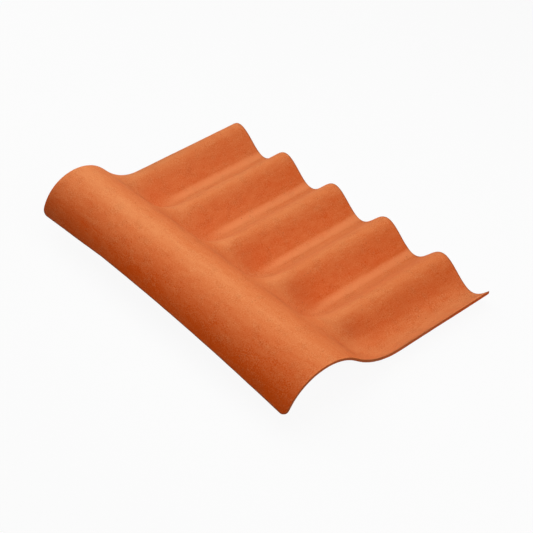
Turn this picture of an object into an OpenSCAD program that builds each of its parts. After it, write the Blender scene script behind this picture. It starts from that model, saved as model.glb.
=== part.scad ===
// Ridge tile for a corrugated roof: one moulded fibre-cement sheet, with a half-round roll
// along the ridge and a corrugated wing that lies on the roof sheets.
// It is drawn as it lies on a level floor: on the troughs of its wing, with the roll's free edge
// clear of the floor, because its centre of mass is beyond the roll's foot.
// X runs along the ridge from the left end, Y out along the wing from the roll's axis, and Z is
// measured from the middle of the waves, until the last step moves the origin under the tile.

/* [Sheet] */
// Length of the tile along the ridge
tile_length = 872; // [700:1:1100]
// Wing, from the roll's axis to the far edge
wing_width = 477; // [400:1:600]
// Thickness of the sheet
sheet_t = 6; // [4:0.5:8]

/* [Waves] */
// Distance from one crest to the next
wave_pitch = 177; // [140:1:200]
// Height of the waves, from trough to crest
wave_height = 57; // [40:1:65]
// Place of the first crest, from the left end
first_crest = 26; // [0:1:60]

/* [Roll] */
// Outer radius of the roll at the left end, which goes under the next tile
roll_r_left = 102; // [90:1:115]
// Outer radius of the roll at the right end, which laps over the next tile
roll_r_right = 125; // [110:1:140]
// Height of the roll's crown above the middle of the waves, at the left end
crown_left = 107; // [95:1:120]
// Height of the roll's crown above the middle of the waves, at the right end
crown_right = 85; // [75:1:105]

/* [Foot of the roll] */
// Radius of the hollow curve between the roll and the wing, at the left end
foot_r_left = 75; // [70:1:110]
// Radius of the hollow curve between the roll and the wing, at the right end
foot_r_right = 165; // [120:1:200]
// How much larger that radius is where it runs out on a crest, and smaller in a trough
foot_r_wave = 50; // [0:1:55]

/* [Free edge of the roll] */
// Height of the free edge above the middle of the waves, where it is highest
edge_z = 38; // [25:1:50]
// Place of that highest point, from the left end
edge_peak = 235; // [150:1:400]
// Fall of the free edge from there to the left end
edge_fall_left = 10; // [0:1:20]
// Fall of the free edge from there to the right end
edge_fall_right = 21; // [0:1:30]
// Radius of the two corners of the free edge
corner_r = 14; // [5:1:25]

/* [Hidden] */

// Steps of the sheet's grid: along each wave, and across each stretch of the section
wave_steps = 18;
corner_steps = 4;
roll_steps = 14;
foot_steps = 14;
// Least distance between two sections where the waves' steps meet a corner's
station_gap = 1;

terracotta = [0.80, 0.38, 0.19];

function mix(a, b, k) = a + (b - a) * k;

// The waves along the ridge, from 1 on a crest to -1 in a trough, and their height
function wave(x) = cos(360 * (x - first_crest) / wave_pitch);
function wave_z(x) = wave_height / 2 * wave(x);

// The roll narrows from the right end to the left
function roll_r(x) = mix(roll_r_left, roll_r_right, x / tile_length);
function roll_z(x) = mix(crown_left, crown_right, x / tile_length) - roll_r(x);

// The foot is an arc that touches the roll from outside and runs out level at the wave's height,
// so each wave starts where the roll lets it
function foot_r(x) = mix(foot_r_left, foot_r_right, x / tile_length) + foot_r_wave * wave(x);
function foot_rise(x) = wave_z(x) + foot_r(x) - roll_z(x);
function foot_y(x) = sqrt(pow(roll_r(x) + foot_r(x), 2) - pow(foot_rise(x), 2));
function foot_angle(x) = atan2(foot_rise(x), foot_y(x));

// Height of the free edge: a straight fall to the left end, a bowed one to the right, round corners
function corner_lift(d) = d < corner_r ? corner_r - sqrt(pow(corner_r, 2) - pow(corner_r - d, 2)) : 0;
function edge_line(x) = x < edge_peak
    ? edge_z - edge_fall_left * (1 - x / edge_peak)
    : edge_z - edge_fall_right * pow((x - edge_peak) / (tile_length - edge_peak), 2);
function edge_height(x) = edge_line(x) + corner_lift(x) + corner_lift(tile_length - x);
function edge_angle(x) = 180 - asin((edge_height(x) - roll_z(x)) / roll_r(x));

// Section of the outer face at x, as [y, z] points from the roll's free edge to the far edge
function roll_arc(x) = [
    for (i = [0:roll_steps])
        let (a = mix(edge_angle(x), foot_angle(x), i / roll_steps))
        [roll_r(x) * cos(a), roll_z(x) + roll_r(x) * sin(a)]
];
function foot_arc(x) = [
    for (i = [1:foot_steps])
        let (a = mix(foot_angle(x) + 180, 270, i / foot_steps))
        [foot_y(x) + foot_r(x) * cos(a), wave_z(x) + foot_r(x) * (1 + sin(a))]
];
function section(x) = concat(roll_arc(x), foot_arc(x), [[wing_width, wave_z(x)]]);

// Places of the sections: close together round the two corners, and between them even steps of
// the waves, so that each crest and each trough has a section of its own
corner_stations = [for (i = [0:corner_steps]) corner_r * (1 - cos(90 * i / corner_steps))];
wave_step = wave_pitch / wave_steps;
first_step = ceil((corner_r + station_gap - first_crest) / wave_step);
last_step = floor((tile_length - corner_r - station_gap - first_crest) / wave_step);
stations = concat(
    corner_stations,
    [for (i = [first_step:last_step]) first_crest + i * wave_step],
    [for (i = [corner_steps:-1:0]) tile_length - corner_stations[i]]
);

outer = [for (x = stations) [for (p = section(x)) [x, p[0], p[1]]]];
rows = len(outer);
columns = len(outer[0]);

// The inner face lies one thickness below, measured square to the sheet, in the same section
function normal(i, j) =
    let (along = outer[min(i + 1, rows - 1)][j] - outer[max(i - 1, 0)][j],
         across = outer[i][min(j + 1, columns - 1)] - outer[i][max(j - 1, 0)],
         n = cross(along, across))
    n / norm(n);
function in_section(n) = [0, n[1], n[2]] / (n[1] * n[1] + n[2] * n[2]);
inner = [
    for (i = [0:rows - 1])
        [for (j = [0:columns - 1]) outer[i][j] - sheet_t * in_section(normal(i, j))]
];

// The origin is under the middle of the tile's box, at the floor
corners = [for (row = concat(outer, inner)) each row];
function middle(axis) = (min([for (p = corners) p[axis]]) + max([for (p = corners) p[axis]])) / 2;
origin = [middle(0), middle(1), min([for (p = corners) p[2]])];

// Faces of the closed sheet: the outer and inner grids, and a rim of four cut edges
function at(side, i, j) = (side * rows + i) * columns + j;
function grid_faces(side) = [
    for (i = [0:rows - 2], j = [0:columns - 2])
        let (a = at(side, i, j), b = at(side, i + 1, j), c = at(side, i + 1, j + 1), d = at(side, i, j + 1))
        each side == 0 ? [[a, c, b], [a, d, c]] : [[a, b, c], [a, c, d]]
];
rim = concat(
    [for (i = [0:rows - 1]) [i, 0]],
    [for (j = [1:columns - 1]) [rows - 1, j]],
    [for (i = [rows - 2:-1:0]) [i, columns - 1]],
    [for (j = [columns - 2:-1:1]) [0, j]]
);
function rim_faces() = [
    for (k = [0:len(rim) - 1])
        let (p = rim[k], q = rim[(k + 1) % len(rim)],
             a = at(0, p[0], p[1]), b = at(0, q[0], q[1]), c = at(1, q[0], q[1]), d = at(1, p[0], p[1]))
        each [[a, b, c], [a, c, d]]
];

module ridge_tile() {
    color(terracotta)
        polyhedron(
            points = [for (p = corners) p - origin],
            faces = concat(grid_faces(0), grid_faces(1), rim_faces())
        );
}

ridge_tile();
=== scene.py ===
# %% [markdown]
# # A ridge tile of pigmented fibre cement
#
# The tile is one half of a two-piece ridge for a corrugated roof. It is a single sheet, pressed wet over
# a form and left to cure: a tapered half-round roll lies over the ridge, and a wavy wing lies on the roof.
# This lesson takes the CAD sheet as it is, refines its mesh by hand, and spends its effort on the finish,
# because a matte, slightly uneven, mottled surface is what tells cured cement from plastic.

# %% Load the frame
import math

import bpy
from mathutils import Matrix, Vector


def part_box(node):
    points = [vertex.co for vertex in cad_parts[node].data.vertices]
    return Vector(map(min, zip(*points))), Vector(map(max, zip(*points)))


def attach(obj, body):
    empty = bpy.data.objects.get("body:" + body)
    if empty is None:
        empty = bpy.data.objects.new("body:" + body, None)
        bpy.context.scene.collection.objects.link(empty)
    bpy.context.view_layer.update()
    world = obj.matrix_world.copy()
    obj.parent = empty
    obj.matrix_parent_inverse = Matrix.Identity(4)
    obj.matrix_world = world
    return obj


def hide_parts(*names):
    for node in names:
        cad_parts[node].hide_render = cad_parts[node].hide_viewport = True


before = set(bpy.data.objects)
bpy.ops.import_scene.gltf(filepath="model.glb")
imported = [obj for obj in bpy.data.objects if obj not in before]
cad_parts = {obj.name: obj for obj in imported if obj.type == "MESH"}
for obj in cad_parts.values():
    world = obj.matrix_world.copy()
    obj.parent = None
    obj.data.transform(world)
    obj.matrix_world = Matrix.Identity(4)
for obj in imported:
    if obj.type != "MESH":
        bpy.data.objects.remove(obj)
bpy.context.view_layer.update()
cad_low, cad_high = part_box("ridge_tile")
print("tile from", [round(v, 3) for v in cad_low], "to", [round(v, 3) for v in cad_high])

# %% [markdown]
# ## The camera
#
# The photograph looks down on the tile from beyond the wide end of its roll, through a fairly long lens, so
# the edges run almost parallel. A camera is a place, a direction and a lens. The direction is given here as
# the two angles that a photographer would read off a tripod, and the small roll of the frame.

# %% Place the camera
SENSOR_MM = 36.0
LENS_MM = 95.3
CAMERA_PLACE = Vector((1.9408, -1.5378, 2.0336))
LOOK_DOWN = math.radians(39.296)
LOOK_AROUND = math.radians(51.109)
CAMERA_ROLL = math.radians(-2.405)

bpy.ops.object.select_all(action="DESELECT")
bpy.ops.object.camera_add(location=CAMERA_PLACE)
camera = bpy.context.object
camera.name = "photo_camera"
camera.data.lens = LENS_MM
camera.data.sensor_width = SENSOR_MM
turn_around = Matrix.Rotation(LOOK_AROUND, 3, "Z")
tilt_down = Matrix.Rotation(math.pi / 2 - LOOK_DOWN, 3, "X")
roll_over = Matrix.Rotation(CAMERA_ROLL, 3, "Z")
camera.rotation_euler = (turn_around @ tilt_down @ roll_over).to_euler()
bpy.context.scene.camera = camera
print("camera looks along", [round(v, 4) for v in turn_around @ tilt_down @ Vector((0, 0, -1))])

# %% [markdown]
# ## The sheet
#
# The CAD tile has the true outline, thickness and waves, but its mesh is loose triangles with knife-sharp
# edges. One could model the sheet again from a grid. Copying the CAD mesh is better, since every wave is
# then exactly where it has to be. The copy is merged, and its triangles are paired into quads, because
# a subdivision surface rounds quads evenly and leaves dents where triangles meet.

# %% Copy the CAD sheet and pair its triangles
MERGE_DISTANCE = 1e-5
PAIR_ANGLE = math.radians(50)

bpy.ops.object.select_all(action="DESELECT")
cad_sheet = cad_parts["ridge_tile"]
cad_sheet.select_set(True)
bpy.context.view_layer.objects.active = cad_sheet
bpy.ops.object.duplicate()
tile = bpy.context.object
tile.name = "cured_tile"
for mark in list(tile.keys()):
    del tile[mark]
bpy.ops.object.mode_set(mode="EDIT")
bpy.ops.mesh.select_all(action="SELECT")
bpy.ops.mesh.remove_doubles(threshold=MERGE_DISTANCE)
bpy.ops.mesh.tris_convert_to_quads(face_threshold=PAIR_ANGLE, shape_threshold=math.pi)
bpy.ops.object.mode_set(mode="OBJECT")
quads = sum(len(face.vertices) == 4 for face in tile.data.polygons)
print("sheet has", quads, "quads of", len(tile.data.polygons), "faces")

# %% [markdown]
# The wing's quads are strips a finger wide and a forearm long. Later steps push the surface in and out, and
# for that they need faces of an even size, so the long edges are cut into short ones. They are the only
# edges longer than a hand, which makes them easy to pick in code.

# %% Cut the long strips of the wing
LONG_EDGE = 0.1
WING_CUTS = 19

bpy.ops.object.mode_set(mode="EDIT")
bpy.ops.mesh.select_mode(type="EDGE")
bpy.ops.mesh.select_all(action="DESELECT")
bpy.ops.object.mode_set(mode="OBJECT")
corners = tile.data.vertices
for edge in tile.data.edges:
    start, end = edge.vertices
    edge.select = (corners[start].co - corners[end].co).length > LONG_EDGE
print("cutting", sum(edge.select for edge in tile.data.edges), "long edges")
bpy.ops.object.mode_set(mode="EDIT")
bpy.ops.mesh.subdivide(number_cuts=WING_CUTS)
bpy.ops.object.mode_set(mode="OBJECT")
print("sheet now has", len(tile.data.polygons), "faces")

# %% [markdown]
# ## Trimmed edges
#
# The edges of the real sheet were cut while the cement was still green, and its corners are a little worn.
# The cut faces get duller, darker pigments than the pressed skin. They are found in code: all corners of
# such a face lie on a sharp edge. They get a material slot of their own. Then the sharp edges are bevelled
# by about a millimetre, and the bevels take the darker finish of the cut: a worn corner has lost its skin,
# and the dark bevels also paint a thin line of shade along the edges.

# %% Give the cut faces their own finish and round them
SHARP_ANGLE = math.radians(50)
EDGE_ROUNDING = 0.0013
EDGE_SEGMENTS = 2
CUT_SLOT = 1

pressed_face = bpy.data.materials.new("fibre_cement")
cut_face = bpy.data.materials.new("trimmed_edge")
tile.data.materials.clear()
tile.data.materials.append(pressed_face)
tile.data.materials.append(cut_face)
bpy.ops.object.mode_set(mode="EDIT")
bpy.ops.mesh.select_all(action="DESELECT")
bpy.ops.mesh.edges_select_sharp(sharpness=SHARP_ANGLE)
bpy.ops.object.mode_set(mode="OBJECT")
on_sharp_edge = {point for edge in tile.data.edges if edge.select for point in edge.vertices}
for face in tile.data.polygons:
    face.material_index = CUT_SLOT if on_sharp_edge.issuperset(face.vertices) else 0
print("cut faces:", sum(face.material_index for face in tile.data.polygons))
bpy.ops.object.mode_set(mode="EDIT")
# The bevels take the darker cut finish, which also paints a thin line of shade along the edges.
bpy.ops.mesh.bevel(offset=EDGE_ROUNDING, segments=EDGE_SEGMENTS, material=CUT_SLOT, clamp_overlap=True)
bpy.ops.object.mode_set(mode="OBJECT")
print("after the bevel:", len(tile.data.polygons), "faces")

# %% [markdown]
# ## An uneven surface
#
# A sheet that was pressed wet and cured on a form is never quite true: it waves by a fraction of a
# millimetre over a hand's breadth, and the felt of the press leaves shallow dents. A bump map could fake
# that, but then the outline and the exported mesh would stay perfect. So the mesh is subdivided once and
# two Displace modifiers push it along its normals, with soft clouds of two sizes.

# %% Subdivide the sheet and make it uneven
SMOOTH_LEVELS = 1
BOW_HEIGHT = 0.0011
BOW_SIZE = 0.11
DENT_HEIGHT = 0.0004
DENT_SIZE = 0.022


def apply_clouds(piece, name, height, size):
    """Pushes a piece in and out by up to half of height, in clouds of about the given size."""
    clouds = bpy.data.textures.new(name, "CLOUDS")
    clouds.noise_scale = size
    push = piece.modifiers.new(name, "DISPLACE")
    push.texture = clouds
    push.texture_coords = "LOCAL"
    push.strength = height
    bpy.ops.object.modifier_apply(modifier=push.name)


smooth = tile.modifiers.new("smooth", "SUBSURF")
smooth.levels = SMOOTH_LEVELS
smooth.render_levels = SMOOTH_LEVELS
bpy.ops.object.modifier_apply(modifier=smooth.name)
apply_clouds(tile, "bow", BOW_HEIGHT, BOW_SIZE)
apply_clouds(tile, "dents", DENT_HEIGHT, DENT_SIZE)
print("uneven sheet has", len(tile.data.polygons), "faces")

# %% [markdown]
# Subdivision draws a wave in by a few tenths of a millimetre, and the clouds move the outline about as
# much. The tile still has to lie on the floor at its stated size, so it is stretched back to the box of the
# CAD sheet. Weighted normals then keep the broad faces flat-looking right up to their small bevels.

# %% Stretch the sheet back to its box and set its normals
points = [corner.co for corner in tile.data.vertices]
low = Vector([min(point[axis] for point in points) for axis in range(3)])
high = Vector([max(point[axis] for point in points) for axis in range(3)])
stretch = Vector([(cad_high[axis] - cad_low[axis]) / (high[axis] - low[axis]) for axis in range(3)])
tile.scale = stretch
tile.location = Vector(cad_low) - low * stretch
bpy.ops.object.transform_apply(location=True, rotation=True, scale=True)
bpy.ops.object.shade_smooth()
normals = tile.modifiers.new("even_normals", "WEIGHTED_NORMAL")
bpy.ops.object.modifier_apply(modifier=normals.name)
print("stretched by", [round(v, 4) for v in stretch])

# %% [markdown]
# ## Building blocks for the finish
#
# The finish is made of layers that are all read from Object coordinates in metres, so each layer can be
# given by the size of its patches on the real sheet. A few small helpers keep the node code readable: one
# feeds a socket with a value or a link, two do sums, one reads the place of a point and one makes noise.

# %% Node helpers
def feed(tree, socket, value):
    """Links a node's output to a socket, or writes a plain value into it."""
    if isinstance(value, bpy.types.NodeSocket):
        tree.links.new(value, socket)
    else:
        socket.default_value = value


def reckon(tree, operation, first, second):
    """A Math node on two sockets or numbers."""
    node = tree.nodes.new("ShaderNodeMath")
    node.operation = operation
    feed(tree, node.inputs[0], first)
    feed(tree, node.inputs[1], second)
    return node.outputs["Value"]


def spread(tree, value, low, high):
    """A Map Range node: 0 at low, 1 at high, and clamped outside them."""
    node = tree.nodes.new("ShaderNodeMapRange")
    feed(tree, node.inputs["Value"], value)
    node.inputs["From Min"].default_value = low
    node.inputs["From Max"].default_value = high
    return node.outputs["Result"]


def place_of(tree):
    """The X, Y and Z of a point on the sheet, in metres."""
    place = tree.nodes.new("ShaderNodeTexCoord")
    axes = tree.nodes.new("ShaderNodeSeparateXYZ")
    tree.links.new(place.outputs["Object"], axes.inputs["Vector"])
    return axes.outputs


def cloud(tree, patch, detail=2.0, stretch=(1.0, 1.0, 1.0)):
    """Noise about zero, in patches of the given size in metres, drawn out along the axes by stretch."""
    place = tree.nodes.new("ShaderNodeTexCoord")
    size = tree.nodes.new("ShaderNodeMapping")
    size.inputs["Scale"].default_value = [1 / (patch * times) for times in stretch]
    noise = tree.nodes.new("ShaderNodeTexNoise")
    noise.inputs["Scale"].default_value = 1.0
    noise.inputs["Detail"].default_value = detail
    tree.links.new(place.outputs["Object"], size.inputs["Vector"])
    tree.links.new(size.outputs["Vector"], noise.inputs["Vector"])
    return reckon(tree, "SUBTRACT", noise.outputs[0], 0.5)


print("helpers ready")

# %% [markdown]
# ## Painted light by the direction of the face
#
# The pigment is mixed into the cement, so the colour goes right through, but the skin isn't even. The soft
# light from above is painted into the colour as well: faces that look up are painted paler, as a painted
# sheen, and the front of the roll is painted deep and saturated, as painted shade; behind its crown the
# paleness fades again. Height alone can't tell these faces apart, because the waves and the foot turn at
# every height. The
# normal can: each side is one dot product.

# %% Painted sheen and shade by the direction of the face
SHEEN_SIDE = Vector((-0.24, 0.56, 0.38))
SHEEN_BASE = 0.27
FRONT_LEAST = 0.06
BACK_FADE = Vector((0.0, -0.45, 0.0))
BACK_BASE = 0.77
BACK_LEAST = 0.52


def facing(tree, direction):
    """How far the surface looks along a direction."""
    surface = tree.nodes.new("ShaderNodeNewGeometry")
    turn = tree.nodes.new("ShaderNodeVectorMath")
    turn.operation = "DOT_PRODUCT"
    tree.links.new(surface.outputs["Normal"], turn.inputs[0])
    turn.inputs[1].default_value = direction
    return turn.outputs["Value"]


# Painted light: faces that look up are painted paler as a sheen, the front of the roll deep as shade.
def painted_sheen_and_shade(tree):
    """Painted light: paleness by the direction of the face, the lesser of what the front and the back of the
    roll allow.
    """
    front = reckon(tree, "ADD", facing(tree, SHEEN_SIDE), SHEEN_BASE)
    back = reckon(tree, "ADD", facing(tree, BACK_FADE), BACK_BASE)
    front = reckon(tree, "MAXIMUM", front, FRONT_LEAST)
    back = reckon(tree, "MAXIMUM", back, BACK_LEAST)
    return reckon(tree, "MINIMUM", front, back)


print("paleness of a face that looks up:", round(SHEEN_BASE + SHEEN_SIDE.z, 2))

# %% [markdown]
# ## Where the marks lie
#
# Other marks follow the shape: lime, a painted highlight and painted shade lie along the waves and at the
# foot of the roll, the crests are worn, and the crown carries a painted highlight. They could be painted by
# hand on an image, once for each wave. Here they come from the coordinates, so they stay sharp at any
# distance. A cosine of X comes round once a wave, and the top of it makes a soft stripe along every wave. A
# band along Y tells the wing from the roll.

# %% Stripes, bands and the wing
WAVE_PITCH = 0.177
CREST_INSET = 0.026
FIRST_CREST = cad_low[0] + CREST_INSET
WING_START = (-0.085, -0.050)


def stripes(tree, offset, width):
    """A soft stripe along each wave, its middle that far to the right of the trough."""
    middle = FIRST_CREST + WAVE_PITCH / 2 + offset
    along = reckon(tree, "SUBTRACT", place_of(tree)["X"], middle)
    swing = reckon(tree, "COSINE", reckon(tree, "MULTIPLY", along, math.tau / WAVE_PITCH), 0.0)
    return spread(tree, swing, math.cos(math.pi * width / WAVE_PITCH), 1.0)


def band(tree, axis, limits):
    """0 at the first of two places along an axis and 1 at the second, both in metres."""
    return spread(tree, place_of(tree)[axis], *limits)


def wing(tree):
    """0 on the roll, 1 on the wing."""
    return band(tree, "Y", WING_START)


def product(tree, first, *others):
    """Masks and shares multiplied together."""
    for other in others:
        first = reckon(tree, "MULTIPLY", first, other)
    return first


print("first crest at", round(FIRST_CREST, 4), "m, waves of", WAVE_PITCH, "m")

# %% [markdown]
# ### Lime and a painted highlight
#
# A pale line low in each trough is a painted highlight. Rain washes lime out of young cement, and it dries
# as a pale patch where each crest leaves the roll. The trough at the wide end is paler all over and has no
# line of its own. A mark only counts where its stripe and its stretch of the tile overlap, so these masks
# are multiplied. Each stretch is a pair of places: at the first the mark is nothing, and at the second it is
# full.

# %% Pale marks
TROUGH_HIGHLIGHT_OFFSET = -0.0105
TROUGH_HIGHLIGHT_WIDTH = 0.024
TROUGH_HIGHLIGHT_START = (-0.025, 0.050)
PALE_MARKS_END = (0.30, 0.24)
ROOT_OFFSET = -0.100
ROOT_WIDTH = 0.060
ROOT_END = (0.000, -0.040)
ROOT_SHARE = 0.47
LAST_TROUGH = (0.338, 0.362)


# The trough line is a painted highlight; the patch at each crest's root is lime.
def lime_and_highlight(tree):
    """A painted highlight low in each trough but the last, and a pale lime patch where each crest leaves the
    roll.
    """
    line = product(tree, stripes(tree, TROUGH_HIGHLIGHT_OFFSET, TROUGH_HIGHLIGHT_WIDTH), band(tree, "Y", TROUGH_HIGHLIGHT_START))
    root = product(tree, stripes(tree, ROOT_OFFSET, ROOT_WIDTH), band(tree, "Y", ROOT_END), wing(tree))
    both = reckon(tree, "MAXIMUM", line, reckon(tree, "MULTIPLY", root, ROOT_SHARE))
    return reckon(tree, "MULTIPLY", both, band(tree, "X", PALE_MARKS_END))


def last_trough(tree):
    """The trough at the wide end, which is pale all over."""
    return reckon(tree, "MULTIPLY", band(tree, "X", LAST_TROUGH), wing(tree))


# The width and start printed here are those of the painted trough highlight.
print("lime lies", TROUGH_HIGHLIGHT_WIDTH, "m wide, from Y", TROUGH_HIGHLIGHT_START[0], "m")

# %% [markdown]
# ### Painted shade, and darker ends
#
# Shade is painted in a faint line on the slope beside the trough highlight, in a film over each crest and
# the slope to its right, and where the waves leave the roll. An ambient occlusion node would find hollows by
# itself, but it would also darken the ones that are painted pale. So each place has a mask of its own, and
# the masks are added up later.

# %% Painted shade on the wing
SLOPE_SHADE_OFFSET = 0.018
SLOPE_SHADE_WIDTH = 0.080
SLOPE_SHADE_SHARE = 0.4
CREST_SHADE_OFFSET = -0.072
CREST_SHADE_WIDTH = 0.110
CREST_SHADE_SHARE = 0.38
FOOT_OFFSET = -0.0485
FOOT_WIDTH = 0.100
FOOT_START = (-0.060, -0.025)
FOOT_END = (0.045, -0.020)
FOOT_FIRST_WAVE = (-0.20, 0.15)
FOOT_LAST_WAVE = (0.352, 0.330)


# Painted shade on the slopes and crests of the waves.
def wave_shade(tree):
    """Painted shade: a dark line on the slope beside the trough highlight, and a darker film on each crest
    and the slope to its right.
    """
    line = reckon(tree, "MULTIPLY", stripes(tree, SLOPE_SHADE_OFFSET, SLOPE_SHADE_WIDTH), SLOPE_SHADE_SHARE)
    crest_shade = reckon(tree, "MULTIPLY", stripes(tree, CREST_SHADE_OFFSET, CREST_SHADE_WIDTH), CREST_SHADE_SHARE)
    return product(tree, reckon(tree, "ADD", line, crest_shade), wing(tree))


# Painted shade in the crease where the waves leave the roll.
def foot_shade(tree):
    """Painted shade where the waves leave the roll, more of it towards the wide end, but not on the last
    slope.
    """
    across = product(tree, band(tree, "Y", FOOT_START), band(tree, "Y", FOOT_END))
    along = product(tree, band(tree, "X", FOOT_FIRST_WAVE), band(tree, "X", FOOT_LAST_WAVE))
    return product(tree, stripes(tree, FOOT_OFFSET, FOOT_WIDTH), across, along)


# The painted shade at the foot runs between these places.
print("dirt at the foot from Y", FOOT_START[0], "to", FOOT_END[0], "m")

# %% [markdown]
# A dark edge lies on both ends of the tile: on the front of the roll at its narrow end, and along the wing
# at both. A noise could break it up, but the stains that are laid over the whole tile later do that as well.
# The normal finds the front of the roll.

# %% Darker ends
ROLL_FRONT = Vector((0.0, -1.0, 0.0))
FRONT_TURN = (0.35, 0.80)
FRONT_END = (-0.375, -0.425)
FRONT_SHARE = 0.5
NARROW_END = (-0.398, -0.425)
NARROW_SHARE = 1.6
WIDE_END = (0.412, 0.432)
WIDE_SHARE = 2.5
END_REACH = (0.24, 0.10)


def darker_ends(tree):
    """A dark edge on the front of the roll's narrow end, and along both ends of the wing."""
    turned = spread(tree, facing(tree, ROLL_FRONT), *FRONT_TURN)
    front = product(tree, turned, band(tree, "X", FRONT_END), FRONT_SHARE)
    narrow = reckon(tree, "MULTIPLY", band(tree, "X", NARROW_END), NARROW_SHARE)
    wide = reckon(tree, "MULTIPLY", band(tree, "X", WIDE_END), WIDE_SHARE)
    ends = product(tree, reckon(tree, "ADD", narrow, wide), band(tree, "Y", END_REACH), wing(tree))
    return reckon(tree, "ADD", front, ends)


# The dark edges reach these places.
print("dirt at the ends up to X", NARROW_END[0], "and", WIDE_END[0], "m")

# %% [markdown]
# ### A painted highlight, and wear
#
# The crown of the roll carries a painted highlight, a pale band where the surface looks straight up, most of
# it towards the narrow end, which goes under the next tile; that end is paler as well. Hands, straps and
# other tiles rub the crests, which have pale flecks beside the roll and at the far edge, where a stack
# rests. The normal finds the crown, and the flecks are the bright ends of a fine noise, which look more
# broken than dots set one by one.

# %% Painted crown highlight and worn places
CROWN_SIDE = Vector((0.0, 0.03, 1.0))
CROWN_TURN = (0.965, 1.0)
CROWN_REACH = (0.55, -0.10)
CROWN_END = (-0.30, -0.43)
FLECK_SIZE = 0.0045
FLECK_LEVELS = (0.08, 0.18)
FLECK_CREST = 0.070
FLECK_FOOT = (0.010, -0.030)
FLECK_EDGE = (0.255, 0.285)


# Painted highlight on the crown of the roll.
def crown_highlight(tree):
    """A painted highlight along the crown of the roll, most of it towards the narrow end, and that end paler
    as well.
    """
    top = spread(tree, facing(tree, CROWN_SIDE), *CROWN_TURN)
    highlight = reckon(tree, "MULTIPLY", top, band(tree, "X", CROWN_REACH))
    paler = reckon(tree, "MAXIMUM", highlight, band(tree, "X", CROWN_END))
    return reckon(tree, "MULTIPLY", paler, band(tree, "Y", WING_START[::-1]))


def scuffs(tree):
    """Pale flecks on the crests, beside the roll and at the far edge."""
    fleck = spread(tree, cloud(tree, FLECK_SIZE, detail=1.0), *FLECK_LEVELS)
    ends = reckon(tree, "MAXIMUM", band(tree, "Y", FLECK_FOOT), band(tree, "Y", FLECK_EDGE))
    return product(tree, fleck, stripes(tree, -WAVE_PITCH / 2, FLECK_CREST), ends, wing(tree))


print("flecks of", FLECK_SIZE, "m on", FLECK_CREST, "m of each crest")

# %% [markdown]
# ## The cured face
#
# The press leaves a mottle in the skin, drawn out along the roll and along the waves, and air leaves small
# dark pits in clusters. The mottle is a noise stretched along X or along Y. A Voronoi texture has one point
# in each of its cells, which scatters the pits as bubbles do, and a cloud picks the clusters that show.

# %% Mottle and pits
MOTTLE_SIZE = 0.011
MOTTLE_LENGTH = 3.0
MOTTLE_DETAIL = 3.0
PIT_GAP = 0.012
PIT_SIZE = 0.0018
PIT_CORE = 0.00054
PIT_PATCH = 0.060
PIT_LEVELS = (0.02, 0.15)


def mottle_of(tree):
    """Noise drawn out along the ridge on the roll, and along the waves on the wing."""
    on_roll = cloud(tree, MOTTLE_SIZE, MOTTLE_DETAIL, (MOTTLE_LENGTH, 1.0, 1.0))
    on_wing = cloud(tree, MOTTLE_SIZE, MOTTLE_DETAIL, (1.0, MOTTLE_LENGTH, 1.0))
    change = reckon(tree, "MULTIPLY", wing(tree), reckon(tree, "SUBTRACT", on_wing, on_roll))
    return reckon(tree, "ADD", on_roll, change)


def pits(tree):
    """Dark pits in clusters: dots in the cells of a Voronoi texture, where a cloud is dense."""
    place = tree.nodes.new("ShaderNodeTexCoord")
    cells = tree.nodes.new("ShaderNodeTexVoronoi")
    cells.inputs["Scale"].default_value = 1 / PIT_GAP
    tree.links.new(place.outputs["Object"], cells.inputs["Vector"])
    dot = spread(tree, cells.outputs["Distance"], PIT_SIZE / PIT_GAP, PIT_CORE / PIT_GAP)
    return product(tree, dot, spread(tree, cloud(tree, PIT_PATCH, detail=1.0), *PIT_LEVELS))


print("mottle of", MOTTLE_SIZE, "m, pits of", PIT_SIZE, "m")

# %% [markdown]
# Now the layers meet. The painted sheen and shade by the direction of the face, blotches, mottle, grain, the
# painted crown highlight, wear and the painted shade at the foot only move one number, the paleness, which
# also falls slowly towards the wide end and the far edge. One could mix a colour for each layer, but moving
# along one line of pigment keeps the hue true however many layers there are.

# %% Paleness
BLOTCH_SIZE = 0.17
FAR_EDGE = (0.10, 0.28)
BLOTCH_SHARE = 0.27
MOTTLE_SHARE = 0.40
CROWN_HIGHLIGHT_SHARE = 0.13
SCUFF_SHARE = 0.25
FOOT_SHADE_SHARE = -0.20
LAST_TROUGH_SHARE = 0.14
LENGTH_SHARE = -0.14
FAR_EDGE_SHARE = -0.05


def paleness_of(tree, mottle, grain, grain_share):
    """The painted sheen and shade by the direction of the face, and all the layers that make it paler or
    deeper.
    """
    paleness = painted_sheen_and_shade(tree)
    layers = (
        (cloud(tree, BLOTCH_SIZE), BLOTCH_SHARE),
        (mottle, MOTTLE_SHARE),
        (grain, grain_share),
        (crown_highlight(tree), CROWN_HIGHLIGHT_SHARE),
        (scuffs(tree), SCUFF_SHARE),
        (foot_shade(tree), FOOT_SHADE_SHARE),
        (last_trough(tree), LAST_TROUGH_SHARE),
        (place_of(tree)["X"], LENGTH_SHARE),
        (band(tree, "Y", FAR_EDGE), FAR_EDGE_SHARE),
    )
    for layer, share in layers:
        paleness = reckon(tree, "ADD", paleness, reckon(tree, "MULTIPLY", layer, share))
    return paleness


print("blotches of", BLOTCH_SIZE, "m")

# %% [markdown]
# The paleness picks a colour between the deep and the pale pigment. Lime with the painted trough highlight,
# dirt with the painted shade and the darker ends, and pits aren't pigment, so they can't be reached along
# that
# line: each is a colour of its own, mixed in over it. Faint stains, all over the tile, count as dirt too.

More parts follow.
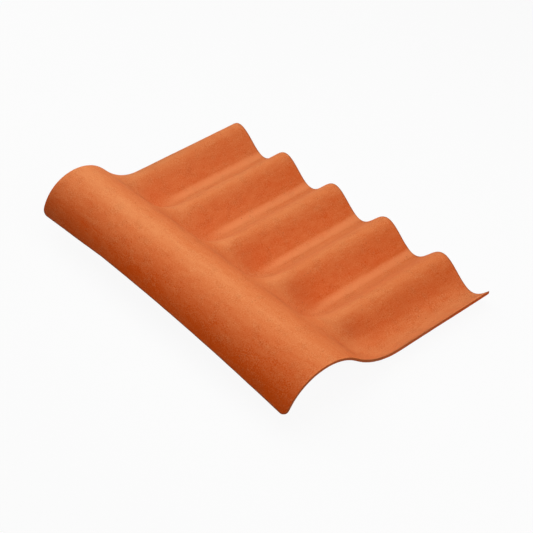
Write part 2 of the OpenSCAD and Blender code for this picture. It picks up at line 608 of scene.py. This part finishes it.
# %% Colour of the cement
# The lime colour also paints the trough highlight, and the dirt colour also paints shade.
LIME_AND_HIGHLIGHT_COLOUR = (0.92, 0.350, 0.135, 1)
DIRT_AND_SHADE_COLOUR = (0.30, 0.095, 0.036, 1)
PIT_COLOUR = (0.45, 0.100, 0.034, 1)
LIME_AND_HIGHLIGHT_SHARE = 0.46
DIRT_AND_SHADE_SHARE = 0.16
STAIN_SIZE = 0.025
STAIN_LEVELS = (0.02, 0.40)


def mix_colours(tree, share, first, second):
    """A Mix node between two colours or sockets."""
    node = tree.nodes.new("ShaderNodeMix")
    node.data_type = "RGBA"
    feed(tree, node.inputs[0], share)
    feed(tree, node.inputs[6], first)
    feed(tree, node.inputs[7], second)
    return node.outputs[2]


def colour_cement(tree, deep, pale, paleness):
    """The pigment of that paleness, with lime and the painted highlight, dirt and the painted shade, and
    pits over it.
    """
    pigment = mix_colours(tree, paleness, deep, pale)
    with_pale_marks = mix_colours(tree, reckon(tree, "MULTIPLY", lime_and_highlight(tree), LIME_AND_HIGHLIGHT_SHARE), pigment, LIME_AND_HIGHLIGHT_COLOUR)
    dirt_and_shade = spread(tree, cloud(tree, STAIN_SIZE), *STAIN_LEVELS)
    # The painted shade on the waves and at the foot, and the darker ends, join the stains here.
    for place in (wave_shade(tree), foot_shade(tree), darker_ends(tree)):
        dirt_and_shade = reckon(tree, "ADD", dirt_and_shade, place)
    darkened = mix_colours(tree, reckon(tree, "MULTIPLY", dirt_and_shade, DIRT_AND_SHADE_SHARE), with_pale_marks, DIRT_AND_SHADE_COLOUR)
    return mix_colours(tree, pits(tree), darkened, PIT_COLOUR)


print("stains of", STAIN_SIZE, "m")

# %% [markdown]
# The same functions finish the cut edges, with duller, darker pigments and a stronger grain. The grain is
# strong in some patches and faint in others. With the mottle it also drives a small bump, and the mottle
# moves the roughness, so that colour, relief and gloss agree, as they do on a real surface. Cement hardly
# shines, so the specular level is low.

# %% Finish the pressed faces and the cut edges
DEEP_PIGMENT = (0.585, 0.068, 0.0022, 1)
PALE_PIGMENT = (0.750, 0.2645, 0.0938, 1)
CUT_DEEP = (0.40, 0.088, 0.022, 1)
CUT_PALE = (0.52, 0.150, 0.050, 1)
GRAIN_SIZE = 0.0024
PRESSED_GRAIN = 1.05
CUT_GRAIN = 1.4
PATCH_LEVELS = (-0.15, 0.15)
PATCH_LEAST = 0.5
BUMP_STRENGTH = 0.35
BUMP_DISTANCE = 0.0006
ROUGHNESS = 0.82
ROUGHNESS_SWING = 0.3
SPECULAR = 0.05


def finish_cement(material, deep, pale, grain_share):
    """Fills a material with the layers of cured cement."""
    material.use_nodes = True
    tree = material.node_tree
    shader = tree.nodes["Principled BSDF"]
    mottle = mottle_of(tree)
    patches = reckon(tree, "ADD", spread(tree, cloud(tree, STAIN_SIZE), *PATCH_LEVELS), PATCH_LEAST)
    grain = reckon(tree, "MULTIPLY", cloud(tree, GRAIN_SIZE), patches)
    paleness = paleness_of(tree, mottle, grain, grain_share)
    feed(tree, shader.inputs["Base Color"], colour_cement(tree, deep, pale, paleness))
    relief = tree.nodes.new("ShaderNodeBump")
    relief.inputs["Strength"].default_value = BUMP_STRENGTH
    relief.inputs["Distance"].default_value = BUMP_DISTANCE
    feed(tree, relief.inputs["Height"], reckon(tree, "ADD", grain, mottle))
    feed(tree, shader.inputs["Normal"], relief.outputs["Normal"])
    swing = reckon(tree, "MULTIPLY", mottle, ROUGHNESS_SWING)
    feed(tree, shader.inputs["Roughness"], reckon(tree, "ADD", swing, ROUGHNESS))
    shader.inputs["Specular IOR Level"].default_value = SPECULAR
    print(material.name, "has", len(tree.nodes), "nodes")


finish_cement(pressed_face, DEEP_PIGMENT, PALE_PIGMENT, PRESSED_GRAIN)
finish_cement(cut_face, CUT_DEEP, CUT_PALE, CUT_GRAIN)

# %% [markdown]
# ## Floor and background
#
# The photograph has a plain white ground. A white floor under strong light would do, but it would throw as
# much light back on the tile. Here the floor is ordinary pale paper, and only rays from the camera, or ones
# that a gloss or a glass sends on, see most of it as a plain white of strength 1. What is left of the paper
# carries a faint shadow of the tile.

# %% Lay the paper
FLOOR_SIZE = 60.0
PAPER = (0.62, 0.62, 0.62, 1)
WHITE = (1.0, 1.0, 1.0, 1)
WHITE_SHARE = 0.93


def seen_directly(tree):
    """1 for rays from the camera and for those that a gloss or a glass sends on, 0 for light."""
    rays = tree.nodes.new("ShaderNodeLightPath")
    shiny = reckon(tree, "MAXIMUM", rays.outputs["Is Glossy Ray"], rays.outputs["Is Transmission Ray"])
    return reckon(tree, "MAXIMUM", rays.outputs["Is Camera Ray"], shiny)


bpy.ops.object.select_all(action="DESELECT")
bpy.ops.mesh.primitive_plane_add(size=FLOOR_SIZE, location=(0, 0, 0))
floor = bpy.context.object
floor.name = "studio_floor"
paper = bpy.data.materials.new("pale_paper")
paper.use_nodes = True
paper_tree = paper.node_tree
paper_tree.nodes.clear()
matte = paper_tree.nodes.new("ShaderNodeBsdfDiffuse")
matte.inputs["Color"].default_value = PAPER
white = paper_tree.nodes.new("ShaderNodeEmission")
white.inputs["Color"].default_value = WHITE
blend = paper_tree.nodes.new("ShaderNodeMixShader")
result = paper_tree.nodes.new("ShaderNodeOutputMaterial")
feed(paper_tree, blend.inputs[0], reckon(paper_tree, "MULTIPLY", seen_directly(paper_tree), WHITE_SHARE))
feed(paper_tree, blend.inputs[1], matte.outputs["BSDF"])
feed(paper_tree, blend.inputs[2], white.outputs["Emission"])
feed(paper_tree, result.inputs["Surface"], blend.outputs["Shader"])
floor.data.materials.append(paper)
print("floor of", FLOOR_SIZE, "m, white share", WHITE_SHARE)

# %% [markdown]
# The world behind the floor looks white to the camera as well, so that hardly a horizon shows. A bright
# world is the quickest way to light a scene, but its light comes from all sides and would flatten the waves.
# So as light it gives only a hundredth of its white.

# %% Set the world
WORLD_FILL = 0.01

world = bpy.data.worlds.new("studio")
bpy.context.scene.world = world
world.use_nodes = True
sky = world.node_tree.nodes["Background"]
sky.inputs["Color"].default_value = WHITE
level = reckon(world.node_tree, "MULTIPLY", seen_directly(world.node_tree), 1 - WORLD_FILL)
feed(world.node_tree, sky.inputs["Strength"], reckon(world.node_tree, "ADD", level, WORLD_FILL))
print("world gives", WORLD_FILL, "of its white as light")

# %% [markdown]
# ## Light
#
# The light of the photograph is soft and comes from above: the top of the roll and the troughs are bright,
# and the front of the roll falls off to a deep brown red. An even white sky would light that front as well.
# Four softboxes do it better: one close overhead, one on each side about 35 degrees up, and a weak one high
# up behind. None stands in front of the tile, and each is large, so no shadow has a hard edge.

# %% Hang the softboxes
SOFTBOX_SIZE = 1.6


def hang_softbox(name, place, watts):
    """A square area light at a place, turned to the middle of the tile."""
    bpy.ops.object.light_add(type="AREA", location=place)
    box = bpy.context.object
    box.name = name
    box.data.size = SOFTBOX_SIZE
    box.data.energy = watts
    box.rotation_euler = (-Vector(place)).to_track_quat("-Z", "Y").to_euler()
    print(name, watts, "W")


hang_softbox("overhead_softbox", (0.0, 0.0, 1.4), 16.0)
hang_softbox("left_softbox", (-1.97, 0.0, 1.38), 22.0)
hang_softbox("right_softbox", (1.97, 0.0, 1.38), 22.0)
hang_softbox("back_softbox", (0.0, 1.2, 2.08), 4.0)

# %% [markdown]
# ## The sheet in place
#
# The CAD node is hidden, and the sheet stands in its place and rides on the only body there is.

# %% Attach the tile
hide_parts("ridge_tile")
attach(tile, "root")
bpy.context.scene.view_settings.view_transform = "Standard"
